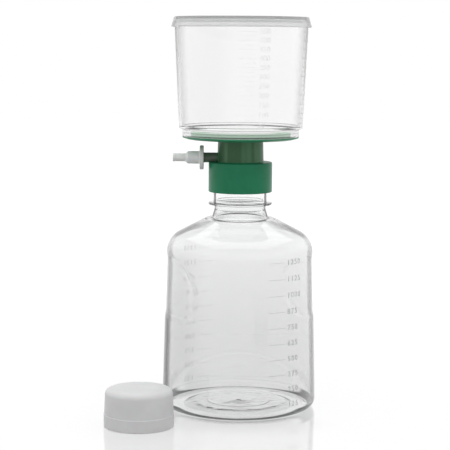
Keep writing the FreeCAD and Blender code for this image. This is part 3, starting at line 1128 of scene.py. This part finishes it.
@dataclass
class Bottle:
    """Receiver bottle: a blown body with grips under an injected screw neck. Sizes in mm."""

    wall: float = 1.5
    foot_radius: float = 60.6
    top_radius: float = 57.0
    top_height: float = 133.7
    heel: float = 7.5
    shoulder: float = 18.0
    shoulder_radius: float = 26.5
    shoulder_height: float = 149.6
    shoulder_top: float = 4.0
    shoulder_inset: float = 0.9
    neck_radius: float = 20.95
    neck_bore: float = 18.4
    neck_root: float = 22.1
    neck_root_fillet: float = 1.6
    neck_waist: float = 20.0
    neck_waist_height: float = 156.5
    neck_waist_rounding: float = 3.0
    neck_flare_fillet: float = 3.0
    neck_flare_height: float = 155.5
    neck_step: float = 0.4
    neck_step_top: float = 163.6
    neck_step_foot: float = 161.4
    foot_ring: float = 43.0
    foot_ring_rounding: float = 3.0
    push_up: float = 2.4
    push_up_radius: float = 36.0
    push_up_rounding: float = 12.0
    mould_ring: float = 25.0
    mould_step: float = 0.12
    gate_radius: float = 1.9
    gate_rise: float = 0.5
    mark_slope: float = 0.5
    bend_offset: float = 0.4
    ring_radius: float = 24.8
    ring_height: float = 160.0
    ring_thickness: float = 1.5
    mouth: float = 188.7
    grip_depth: float = 0.8
    grip_foot: float = 74.0
    grip_top: float = 120.5
    grip_half_width: float = 45.0
    grip_tight: float = 9.0
    grip_wide: float = 26.0
    grip_edge: float = 4.5
    grip_soft_back: float = 2.5
    grip_turn: float = 20.0
    grip_margin: float = 5.0
    scale_drop: float = 2.1
    segments: int = 240
    arc_step: float = 8.0
    plain_rows: Rows = (8.0, 68.0, 12.0)
    grip_rows: Rows = (68.0, 126.0, 0.8)
    thread_rows: Rows = (171.0, 187.5, 0.35)
    thread: Thread = field(default_factory=lambda: Thread(THREAD_HEIGHT, 173.0, 186.5))

    def outside(self) -> list[Point]:
        """Outer wall from the middle of the base up to the mouth.

        The corner of the bore only gives the mouth's outer edge its direction.
        """
        ring_top = self.ring_height + self.ring_thickness
        return rounded(
            [
                (0.0, self.push_up, 0),
                (self.push_up_radius, self.push_up, self.push_up_rounding),
                (self.foot_ring, 0.0, self.foot_ring_rounding),
                (self.foot_radius, 0.0, self.heel),
                (self.top_radius, self.top_height, self.shoulder),
                (self.shoulder_radius, self.shoulder_height, self.shoulder_top),
                (self.neck_root, self.shoulder_height, self.neck_root_fillet),
                (self.neck_waist, self.neck_waist_height, self.neck_waist_rounding),
                (self.neck_waist, self.ring_height, 0.4),
                (self.ring_radius, self.ring_height, 0.5),
                (self.ring_radius, ring_top, 0.5),
                (self.neck_radius, ring_top, 0.4),
                (self.neck_radius, self.mouth, 0.5),
                (self.neck_bore, self.mouth, 0),
            ],
            step=self.arc_step,
        )[:-1]

    def inside(self) -> list[Point]:
        """Inner wall from the mouth down to the middle of the base.

        The neck's outer corner only gives the mouth's inner edge its direction.
        """
        wall = self.wall
        wide_bore = self.neck_bore + self.neck_step
        floor = self.push_up + wall
        bend = self.bend_offset
        return rounded(
            [
                (self.neck_radius, self.mouth, 0),
                (self.neck_bore, self.mouth, 0.5),
                (self.neck_bore, self.neck_step_top, 0.2),
                (wide_bore, self.neck_step_foot, 0.2),
                (wide_bore, self.neck_flare_height, self.neck_waist_rounding),
                (self.neck_root - wall, self.shoulder_height - wall, self.neck_flare_fillet),
                (
                    self.shoulder_radius - bend,
                    self.shoulder_height - wall,
                    self.shoulder_top + wall,
                ),
                (
                    self.top_radius - wall,
                    self.top_height - self.shoulder_inset,
                    self.shoulder - wall,
                ),
                (self.foot_radius - wall, wall, self.heel - wall),
                (self.foot_ring - bend, wall, self.foot_ring_rounding),
                (self.push_up_radius - bend, floor, self.push_up_rounding),
                (self.mould_ring, floor, 0.5),
                (self.mould_ring - self.mark_slope, floor + self.mould_step, 0.5),
                (self.gate_radius, floor + self.mould_step, 0.4),
                (self.gate_radius - self.mark_slope, floor + self.gate_rise, 0.4),
                (0.0, floor + self.gate_rise, 0),
            ],
            step=self.arc_step,
        )[1:]

    def grip(self, x: float, y: float, z: float) -> float:
        """Gives how far the body is pressed in at a point.

        Args:
            x: Place of the point, in mm.
            y: Place of the point, in mm.
            z: Height of the point, in mm.

        Returns:
            The depth of the grip there, as a move outwards in mm.
        """
        along = y if x > 0 else -y
        up = z - (self.grip_foot + self.grip_top) / 2
        corner = self.grip_wide if along * up > 0 else self.grip_tight
        over_x = abs(along) - self.grip_half_width + corner
        over_z = abs(up) - (self.grip_top - self.grip_foot) / 2 + corner
        outside = math.hypot(max(over_x, 0), max(over_z, 0)) + min(max(over_x, over_z), 0)
        behind = min(1.0, max(0.0, y / self.grip_turn + 0.5))
        edge = self.grip_edge * (1 + self.grip_soft_back * behind)
        share = min(1.0, max(0.0, (corner - outside) / edge + 0.5))
        return -self.grip_depth * share * share * (3 - 2 * share)

    def shape(self, x: float, y: float, z: float, radius: float) -> float:
        """Gives the move of the wall at a point for the grips and the thread, in mm."""
        if self.grip_foot - self.grip_margin < z < self.grip_top + self.grip_margin:
            return self.grip(x, y, z)
        if radius > (self.neck_bore + self.neck_radius) / 2:
            return self.thread.lift(x, y, z)
        return 0.0

    def build(self) -> None:
        """Builds the bottle and its two graduated columns."""
        walls: list[Point] = []
        for wall in (with_rows(self.outside(), *self.thread_rows), self.inside()):
            walls += with_rows(with_rows(wall, *self.plain_rows), *self.grip_rows)
        body = lathe("bottle", walls, self.segments, closed=False)
        moved_in_and_out(body, self.shape)
        dressed(smoothed(body), BOTTLE_CLEAR.material())
        hand_over(body, "bottle", "bottle_clear", "receiver_bottle")

        rising = [p for p in reversed(self.inside()) if p[0] > self.foot_ring]
        outer = [p for p in self.outside() if p[0] > self.push_up_radius]
        for name, bearing, finish in (
            ("front", 42.8, BOTTLE_RELIEF),
            ("back", 222.8, BACK_RELIEF),
        ):
            scale = Scale(
                bearing,
                first=125,
                last=1250,
                step=125,
                number_step=125,
                digit_height=4.2,
                line_width=0.22,
                relief=0.14,
                spacing=1.3,
            )
            column = scale.column(
                f"bottle_scale_{name}",
                outer,
                lambda volume: surface_height(rising, self.wall, volume) - self.scale_drop,
            )
            hand_over(dressed(column, finish.material()), "bottle", "bottle_clear")


@dataclass
class Chamber:
    """Upper chamber: a tapered clear funnel that jogs in to a bonded skirt. Sizes in mm."""

    wall: float = 2.0
    foot_radius: float = 48.05
    rim_radius: float = 51.75
    ledge: float = 221.4
    rim: float = FUNNEL_RIM
    corner: float = 0.5
    skirt_radius: float = PLATE_RADIUS
    skirt_foot: float = PLATE_TOP
    seat_gap: float = 0.04
    rim_gap: float = 0.05
    volume_under_ledge: float = 32.0
    segments: int = 240

    def outline(self) -> list[Point]:
        """Section of the funnel's wall."""
        bore = self.skirt_radius - self.wall
        under = self.ledge - self.wall
        rim = self.rim - self.rim_gap
        foot = self.skirt_foot + self.seat_gap
        return rounded(
            [
                (bore, foot, 0.4),
                (self.skirt_radius, foot, 0.5),
                (self.skirt_radius, under, 1.2),
                (self.foot_radius, under, self.corner),
                (self.rim_radius, rim, 0.4),
                (self.rim_radius - self.wall, rim, 0.4),
                (self.foot_radius - self.wall, self.ledge, 0.3),
                (bore, self.ledge, 0.3),
            ],
            step=10,
        )

    def build(self) -> None:
        """Builds the funnel and its graduated columns."""
        body = lathe("chamber", self.outline(), self.segments)
        dressed(smoothed(body), CHAMBER_CLEAR.material())
        hand_over(body, "head", "chamber_clear", "upper_chamber")

        outer = [(self.foot_radius, self.ledge - self.wall), (self.rim_radius, self.rim)]
        inner = [
            (self.foot_radius - self.wall, self.ledge),
            (self.rim_radius - self.wall, self.rim),
        ]
        relief = CHAMBER_RELIEF.material()
        for name, bearing in (("front", 20.0), ("side", 91.0)):
            scale = Scale(
                bearing,
                first=50,
                last=550,
                step=25,
                number_step=50,
                digit_height=4.0,
                line_width=0.3,
                relief=0.1,
                gap=2.6,
            )
            column = scale.column(
                f"chamber_scale_{name}",
                outer,
                lambda volume: surface_height(
                    inner, self.ledge, volume, self.volume_under_ledge
                ),
            )
            hand_over(dressed(column, relief), "head", "chamber_clear")


@dataclass
class Lid:
    """Lid: a recessed disc with a stacking rim above and a flared skirt below. Sizes in mm."""

    rim: float = FUNNEL_RIM
    disc: float = 1.5
    wall: float = 1.2
    top_radius: float = 52.1
    brim_radius: float = 54.3
    rim_height: float = 3.2
    skirt_drop: float = 3.3
    brim_band: float = 1.0
    seat_gap: float = 0.02
    segments: int = 240

    def build(self) -> None:
        """Builds the lid."""
        disc_top = self.rim + self.disc
        rim_top = disc_top + self.rim_height
        foot = self.rim - self.skirt_drop
        brim_top = foot + self.brim_band
        flare = (self.brim_radius - self.top_radius) / (rim_top - brim_top)
        at_disc = self.top_radius + flare * (rim_top - self.rim)
        outline = rounded(
            [
                (0.0, self.rim + self.seat_gap, 0),
                (at_disc - self.wall, self.rim + self.seat_gap, 0.4),
                (self.brim_radius - self.wall, foot, 0.25),
                (self.brim_radius, foot, 0.3),
                (self.brim_radius, brim_top, 0.3),
                (self.top_radius, rim_top, 0.45),
                (self.top_radius - self.wall, rim_top, 0.45),
                (self.top_radius - self.wall, disc_top, 0.5),
                (0.0, disc_top, 0),
            ],
        )
        body = lathe("lid", outline, self.segments, closed=False)
        dressed(smoothed(body), LID_GREY.material())
        hand_over(body, "lid", "lid_clear", "lid")


@dataclass
class FilterBase:
    """Filter base: collar, stem, membrane plate, drip tube and vacuum spigot. Sizes in mm."""

    collar_foot: float = 169.9
    roof: float = 190.5
    collar_top: float = 193.15
    collar_radius: float = 24.8
    collar_bore: float = THREAD_BORE
    stem_foot_radius: float = 18.1
    stem_top_radius: float = 17.65
    stem_wall: float = 1.8
    plate_radius: float = PLATE_RADIUS
    plate_hub: float = 209.7
    plate_under: float = 210.9
    plate_edge: float = 212.2
    plate_edge_taper: float = 4.5
    plate_floor: float = PLATE_TOP
    locating_outer: float = 43.25
    locating_inner: float = 41.65
    locating_top: float = 214.2
    clamp_outer: float = 38.9
    clamp_inner: float = 37.7
    clamp_top: float = 217.0
    seat: float = 215.2
    drain_radius: float = 35.5
    drain_low: float = 211.7
    ceiling: float = 209.3
    outlet_bore: float = 3.0
    outlet_radius: float = 4.8
    outlet_foot: float = 183.5
    rib_count: int = 18
    rib_thickness: float = 1.0
    rib_start: float = 6.8
    ring_radius: float = 19.0
    spigot_height: float = SPIGOT_HEIGHT
    spigot_radius: float = 3.9
    spigot_bore: float = 2.3
    spigot_end: float = SPIGOT_END
    web_thickness: float = 3.0
    web_end: float = 24.1
    web_root: float = 0.8
    web_bevel: float = 0.25
    rib_bevel: float = 0.2
    sunk: float = 0.4
    segments: int = 200
    spigot_segments: int = 48
    ring_segments: int = 72
    thread_rows: Rows = (180.5, 189.0, 0.4)
    thread: Thread = field(
        default_factory=lambda: Thread(-THREAD_HEIGHT, 182.5, 188.5, set_round=0.5)
    )

    def turned_part(self) -> Piece:
        """Collar, stem, plate and drip tube in one turned shell."""
        stem_bore = self.stem_top_radius - self.stem_wall
        outline = rounded(
            [
                (self.outlet_bore, self.outlet_foot, 0.3),
                (self.outlet_radius, self.outlet_foot, 0.5),
                (self.outlet_radius, self.ceiling, 0.8),
                (stem_bore, self.ceiling, 0.8),
                (stem_bore, self.roof, 0.4),
                (self.collar_bore, self.roof, 0.4),
                (self.collar_bore, self.collar_foot, 0.5),
                (self.collar_radius, self.collar_foot, 0.5),
                (self.collar_radius, self.collar_top, 0.9),
                (self.stem_foot_radius, self.collar_top, 0.6),
                (self.stem_top_radius, self.plate_hub, 0.8),
                (self.plate_radius - self.plate_edge_taper, self.plate_under, 3.0),
                (self.plate_radius, self.plate_edge, 0.35),
                (self.plate_radius, self.plate_floor, 0.15),
                (self.locating_outer, self.plate_floor, 0),
                (self.locating_outer, self.locating_top, 0.3),
                (self.locating_inner, self.locating_top, 0.3),
                (self.locating_inner, self.plate_floor, 0.3),
                (self.clamp_outer, self.plate_floor, 0.3),
                (self.clamp_outer, self.clamp_top, 0.4),
                (self.clamp_inner, self.clamp_top, 0.4),
                (self.clamp_inner, self.seat, 0),
                (self.drain_radius, self.seat, 0.3),
                (self.drain_radius, self.plate_floor, 0.3),
                (self.outlet_bore, self.drain_low, 0.5),
            ],
            step=15,
        )
        shell = lathe("filter_base", with_rows(outline, *self.thread_rows), self.segments)
        moved_in_and_out(shell, self.thread.on_wall(self.collar_bore))
        return shell

    def spigot(self) -> Piece:
        """Vacuum spigot, turned about its own axis."""
        centre = Vector((0, 0, self.spigot_height * MM))
        root = self.stem_top_radius - self.stem_wall + self.sunk
        outline = rounded(
            [
                (self.spigot_bore, root, 0),
                (self.spigot_radius, root, 0),
                (self.spigot_radius, self.spigot_end, 0.4),
                (self.spigot_bore, self.spigot_end, 0.4),
            ],
            step=30,
        )
        return lathe("spigot", outline, self.spigot_segments, Axis.TO_HOSE, centre)

    def ribs(self) -> list[Piece]:
        """Radial ribs of the drain face, and the low ring across them."""
        half = self.rib_thickness / 2
        low = self.drain_low - self.sunk
        first = block(
            "rib",
            Vector((self.rib_start, -half, low)),
            Vector((self.drain_radius + self.sunk, half, self.seat)),
            self.rib_bevel,
        )
        made = [first]
        for index in range(1, self.rib_count):
            copy = first.copy()
            copy.data = first.data.copy()
            copy.data.transform(Matrix.Rotation(math.tau * index / self.rib_count, 4, "Z"))
            bpy.context.collection.objects.link(copy)
            made.append(copy)
        top = (self.seat + self.drain_low) / 2
        outer = self.ring_radius + self.rib_thickness
        ring = rounded(
            [
                (self.ring_radius, low, 0),
                (outer, low, 0),
                (outer, top, 0.2),
                (self.ring_radius, top, 0.2),
            ],
            step=45,
        )
        made.append(lathe("drain_ring", ring, self.ring_segments))
        return made

    def build(self) -> None:
        """Builds the base."""
        half = self.web_thickness / 2
        web = block(
            "web",
            Vector((-self.web_end, -half, self.collar_top - self.sunk)),
            Vector((-self.stem_top_radius + self.web_root, half, self.spigot_height)),
            self.web_bevel,
        )
        base = joined([self.turned_part(), self.spigot(), web, *self.ribs()], "filter_base")
        dressed(smoothed(base), BASE_GREEN.material())
        hand_over(base, "head", "base_green", "filter_base")


@dataclass
class HoseAdapter:
    """Stepped hose adapter on the spigot. Sizes in mm from the unit's axis."""

    height: float = SPIGOT_HEIGHT
    start: float = 28.7
    socket: float = 3.98
    socket_end: float = SPIGOT_END
    flange_radius: float = 9.4
    flange_end: float = 31.8
    wide_root: float = 5.0
    wide_radius: float = 4.85
    wide_end: float = 41.0
    narrow_root: float = 3.2
    narrow_waist: float = 3.1
    narrow_start: float = 42.9
    lip_foot: float = 50.6
    lip_start: float = 51.4
    lip_radius: float = 3.25
    tip: float = 52.8
    bore: float = 1.9
    segments: int = 96

    def build(self) -> None:
        """Builds the adapter."""
        outline = rounded(
            [
                (self.socket, self.start, 0.2),
                (self.flange_radius, self.start, 0.6),
                (self.flange_radius, self.flange_end, 0.6),
                (self.wide_root, self.flange_end, 0.8),
                (self.wide_radius, self.wide_end, 1.0),
                (self.narrow_root, self.narrow_start, 1.0),
                (self.narrow_waist, self.lip_foot, 0.6),
                (self.lip_radius, self.lip_start, 0.4),
                (self.lip_radius, self.tip, 0.5),
                (self.bore, self.tip, 0.3),
                (self.bore, self.socket_end, 0),
                (self.socket, self.socket_end, 0),
            ],
            step=15,
        )
        centre = Vector((0, 0, self.height * MM))
        body = lathe("hose_adapter_body", outline, self.segments, Axis.TO_HOSE, centre)
        dressed(smoothed(body), ADAPTER_WHITE.material())
        hand_over(body, "adapter", "adapter_white", "hose_adapter")


@dataclass
class StorageCap:
    """Storage cap, lying mouth down beside the bottle. Sizes in mm."""

    height: float = 28.4
    top: float = 2.2
    top_radius: float = 25.2
    band_radius: float = 26.35
    band_height: float = 9.5
    band_step: float = 0.3
    crown: float = 4.2
    bore: float = THREAD_BORE
    seal_outer: float = 18.1
    seal_wall: float = 1.1
    seal_drop: float = 3.5
    place: Point = (-75.2, -70.1)
    segments: int = 160
    thread: Thread = field(default_factory=lambda: Thread(-THREAD_HEIGHT, 3.0, 17.0))
    thread_rows: Rows = (2.0, 18.5, 0.4)

    def build(self) -> None:
        """Builds the cap."""
        ceiling = self.height - self.top
        seal_inner = self.seal_outer - self.seal_wall
        outline = rounded(
            [
                (0.0, ceiling, 0),
                (seal_inner, ceiling, 0.4),
                (seal_inner, ceiling - self.seal_drop, 0.3),
                (self.seal_outer, ceiling - self.seal_drop, 0.3),
                (self.seal_outer, ceiling, 0.4),
                (self.bore, ceiling, 1.0),
                (self.bore, 0.0, 0.5),
                (self.band_radius, 0.0, 0.5),
                (self.band_radius, self.band_height, 0.25),
                (self.band_radius - self.band_step, self.band_height, 0.1),
                (self.top_radius, self.height, self.crown),
                (0.0, self.height, 0),
            ],
            step=15,
        )
        outline = with_rows(outline, *self.thread_rows)
        body = lathe("storage_cap_body", outline, self.segments, closed=False)
        moved_in_and_out(body, self.thread.on_wall(self.bore))
        body.data.transform(Matrix.Translation(Vector((*self.place, 0)) * MM))
        dressed(smoothed(body), CAP_WHITE.material())
        hand_over(body, "bottle", "cap_white", "storage_cap")


@dataclass
class SmallParts:
    """Pieces whose modelled solids stay as they are: the seal, the film and the cotton plug."""

    finishes: dict[str, MouldedPlastic | Fibre] = field(
        default_factory=lambda: {
            "neck_seal": SEAL_GREY,
            "membrane": MEMBRANE_WHITE,
            "vent_plug": COTTON,
        }
    )

    def build(self) -> None:
        """Dresses the pieces."""
        for name, finish in self.finishes.items():
            dressed(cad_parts[name], finish.material())
            LOG.info("%s: dressed", name)


# ------------------------------------------------------------------ the studio


@dataclass(frozen=True)
class Shade:
    """A shade that the bottle's foot throws on the floor. Sizes in metres.

    Attributes:
        depth: Share of the floor's white that it takes.
        starts: Distance from the bottle's axis at which it starts.
        full: Distance at which it is full.
        reach: How far past the foot's edge it fades out.
    """

    depth: float
    starts: float
    full: float
    reach: float


@dataclass
class Studio:
    """White floor, one soft lamp and the camera.

    Sizes are in metres and angles in degrees. The lens and the sensor are in mm.
    """

    lens: float = 122.6
    sensor: float = 36.0
    clip: Point = (0.05, 60.0)
    camera_place: Place = (-0.0117, -1.194, 0.2847)
    tilt: float = 6.75
    roll: float = 0.4
    lamp_place: Place = (0.0, 0.15, 1.5)
    lamp_aim: Place = (0.0, 0.0, 0.1)
    lamp_size: float = 2.4
    lamp_power: float = 11.0
    room_light: float = 0.78
    overhead: Colour = (0.3, 0.3, 0.3)
    overhead_rise: Point = (0.25, 0.75)
    floor_size: float = 9.0
    floor_white: float = 0.34
    floor_glow: float = 0.66
    far_glow: float = 0.35
    far_from: Point = (0.25, 0.9)
    gloss_roughness: float = 0.05
    gloss_falloff: float = 3.3
    foot_radius: float = 0.0606
    soft_shade: Shade = Shade(0.21, 0.032, 0.056, 0.048)
    close_shade: Shade = Shade(0.28, 0.054, 0.0595, 0.008)
    shade_front: Point = (-0.95, -0.55)

    def camera(self) -> None:
        """Sets the camera."""
        data = bpy.data.cameras.new("camera")
        data.lens = self.lens
        data.sensor_width = self.sensor
        data.clip_start, data.clip_end = self.clip
        camera = bpy.data.objects.new("camera", data)
        bpy.context.scene.collection.objects.link(camera)
        camera.location = self.camera_place
        camera.rotation_mode = "QUATERNION"
        level = Quaternion((1, 0, 0), math.radians(90 - self.tilt))
        camera.rotation_quaternion = level @ Quaternion((0, 0, 1), math.radians(self.roll))
        bpy.context.scene.camera = camera

    def seen(self, tree: Tree) -> Socket:
        """Gives 1 for rays that look at the backdrop, straight, by gloss or through glass."""
        rays = tree.nodes.new("ShaderNodeLightPath").outputs
        indirect = math_node(
            tree, "MAXIMUM", rays["Is Glossy Ray"], rays["Is Transmission Ray"]
        )
        return math_node(tree, "MAXIMUM", rays["Is Camera Ray"], indirect)

    def world(self) -> None:
        """Sets the world: white to look at, darker overhead in reflections, plain as light."""
        world = bpy.data.worlds.new("studio")
        world.use_nodes = True
        tree = world.node_tree
        tree.nodes.clear()
        path = tree.nodes.new("ShaderNodeLightPath")
        place = tree.nodes.new("ShaderNodeTexCoord")
        up = node(tree, "ShaderNodeSeparateXYZ", Vector=place.outputs["Generated"])
        dim = ramp(tree, up.outputs["Z"], *self.overhead_rise)
        room = blended(tree, dim, WHITE, self.overhead)
        colour = blended(tree, path.outputs["Is Camera Ray"], room, WHITE)
        backdrop = node(tree, "ShaderNodeBackground", Color=colour, Strength=1.0)
        light = node(
            tree, "ShaderNodeBackground", Color=(*WHITE, 1), Strength=self.room_light
        )
        surface = mixed(tree, self.seen(tree), light, backdrop)
        node(tree, "ShaderNodeOutputWorld", Surface=surface)
        bpy.context.scene.world = world

    def foot_shade(self, tree: Tree, here: Spot) -> Socket:
        """Gives the floor's shade before the bottle's foot, as a share of its white.

        Args:
            tree: The floor's nodes.
            here: The point on the floor.

        Returns:
            The shade: 0 far from the foot's edge and beside it, and most right before it.
        """
        turned_from_front = math_node(tree, "DIVIDE", here.y, here.away)
        aside = ramp(tree, turned_from_front, *self.shade_front)
        total: Socket | float = 0.0
        for shade in (self.soft_shade, self.close_shade):
            near = ramp(tree, here.away, shade.starts, shade.full)
            gone = ramp(tree, here.away, self.foot_radius, self.foot_radius + shade.reach)
            left = math_node(tree, "MULTIPLY", near, math_node(tree, "SUBTRACT", 1.0, gone))
            total = math_node(tree, "ADD", total, math_node(tree, "MULTIPLY", left, shade.depth))
        return math_node(tree, "MULTIPLY", total, math_node(tree, "SUBTRACT", 1.0, aside))

    def floor_finish(self) -> Material:
        """Builds the floor's finish: a matt white that glows when looked at, under a gloss."""
        made, tree = new_material("floor_white")
        here = spot(tree)
        shade = self.foot_shade(tree, here)
        grey = blended(tree, shade, (self.floor_white,) * 3, (0, 0, 0))
        far = math_node(tree, "MULTIPLY", ramp(tree, here.away, *self.far_from), self.far_glow)
        level = math_node(tree, "ADD", self.floor_glow, far)
        level = math_node(tree, "MULTIPLY", math_node(tree, "SUBTRACT", 1.0, shade), level)
        level = math_node(tree, "MULTIPLY", self.seen(tree), level)
        matt = node(tree, "ShaderNodeBsdfDiffuse", Color=grey)
        glow = node(tree, "ShaderNodeEmission", Color=(*WHITE, 1), Strength=level)
        white = tree.nodes.new("ShaderNodeAddShader")
        tree.links.new(matt.outputs[0], white.inputs[0])
        tree.links.new(glow.outputs[0], white.inputs[1])
        gloss = node(
            tree, "ShaderNodeBsdfGlossy", Color=(*WHITE, 1), Roughness=self.gloss_roughness
        )
        facing = node(tree, "ShaderNodeLayerWeight", Blend=0.5).outputs["Facing"]
        share = math_node(tree, "POWER", facing, self.gloss_falloff)
        node(tree, "ShaderNodeOutputMaterial", Surface=mixed(tree, share, white, gloss))
        return made

    def floor(self) -> None:
        """Lays the floor."""
        deselect()
        bpy.ops.mesh.primitive_plane_add(size=self.floor_size, location=(0, 0, 0))
        floor = bpy.context.object
        floor.name = "floor"
        dressed(floor, self.floor_finish())

    def lamp(self) -> None:
        """Hangs the soft lamp."""
        data = bpy.data.lights.new("top_lamp", "AREA")
        data.shape = "RECTANGLE"
        data.size = data.size_y = self.lamp_size
        data.energy = self.lamp_power
        lamp = bpy.data.objects.new("top_lamp", data)
        bpy.context.scene.collection.objects.link(lamp)
        lamp.location = self.lamp_place
        lamp.rotation_mode = "QUATERNION"
        aim = Vector(self.lamp_aim) - Vector(self.lamp_place)
        lamp.rotation_quaternion = aim.to_track_quat("-Z", "Y")

    def build(self) -> None:
        """Sets up the whole studio."""
        bpy.context.scene.view_settings.view_transform = "Standard"
        self.camera()
        self.world()
        self.floor()
        self.lamp()


def main() -> None:
    """Builds the studio and the unit."""
    logging.basicConfig(level=logging.INFO, format="%(name)s: %(message)s")
    Studio().build()
    for part in (
        Bottle(),
        Chamber(),
        Lid(),
        FilterBase(),
        HoseAdapter(),
        StorageCap(),
        SmallParts(),
    ):
        part.build()
    deselect()


if __name__ == "__main__":
    main()
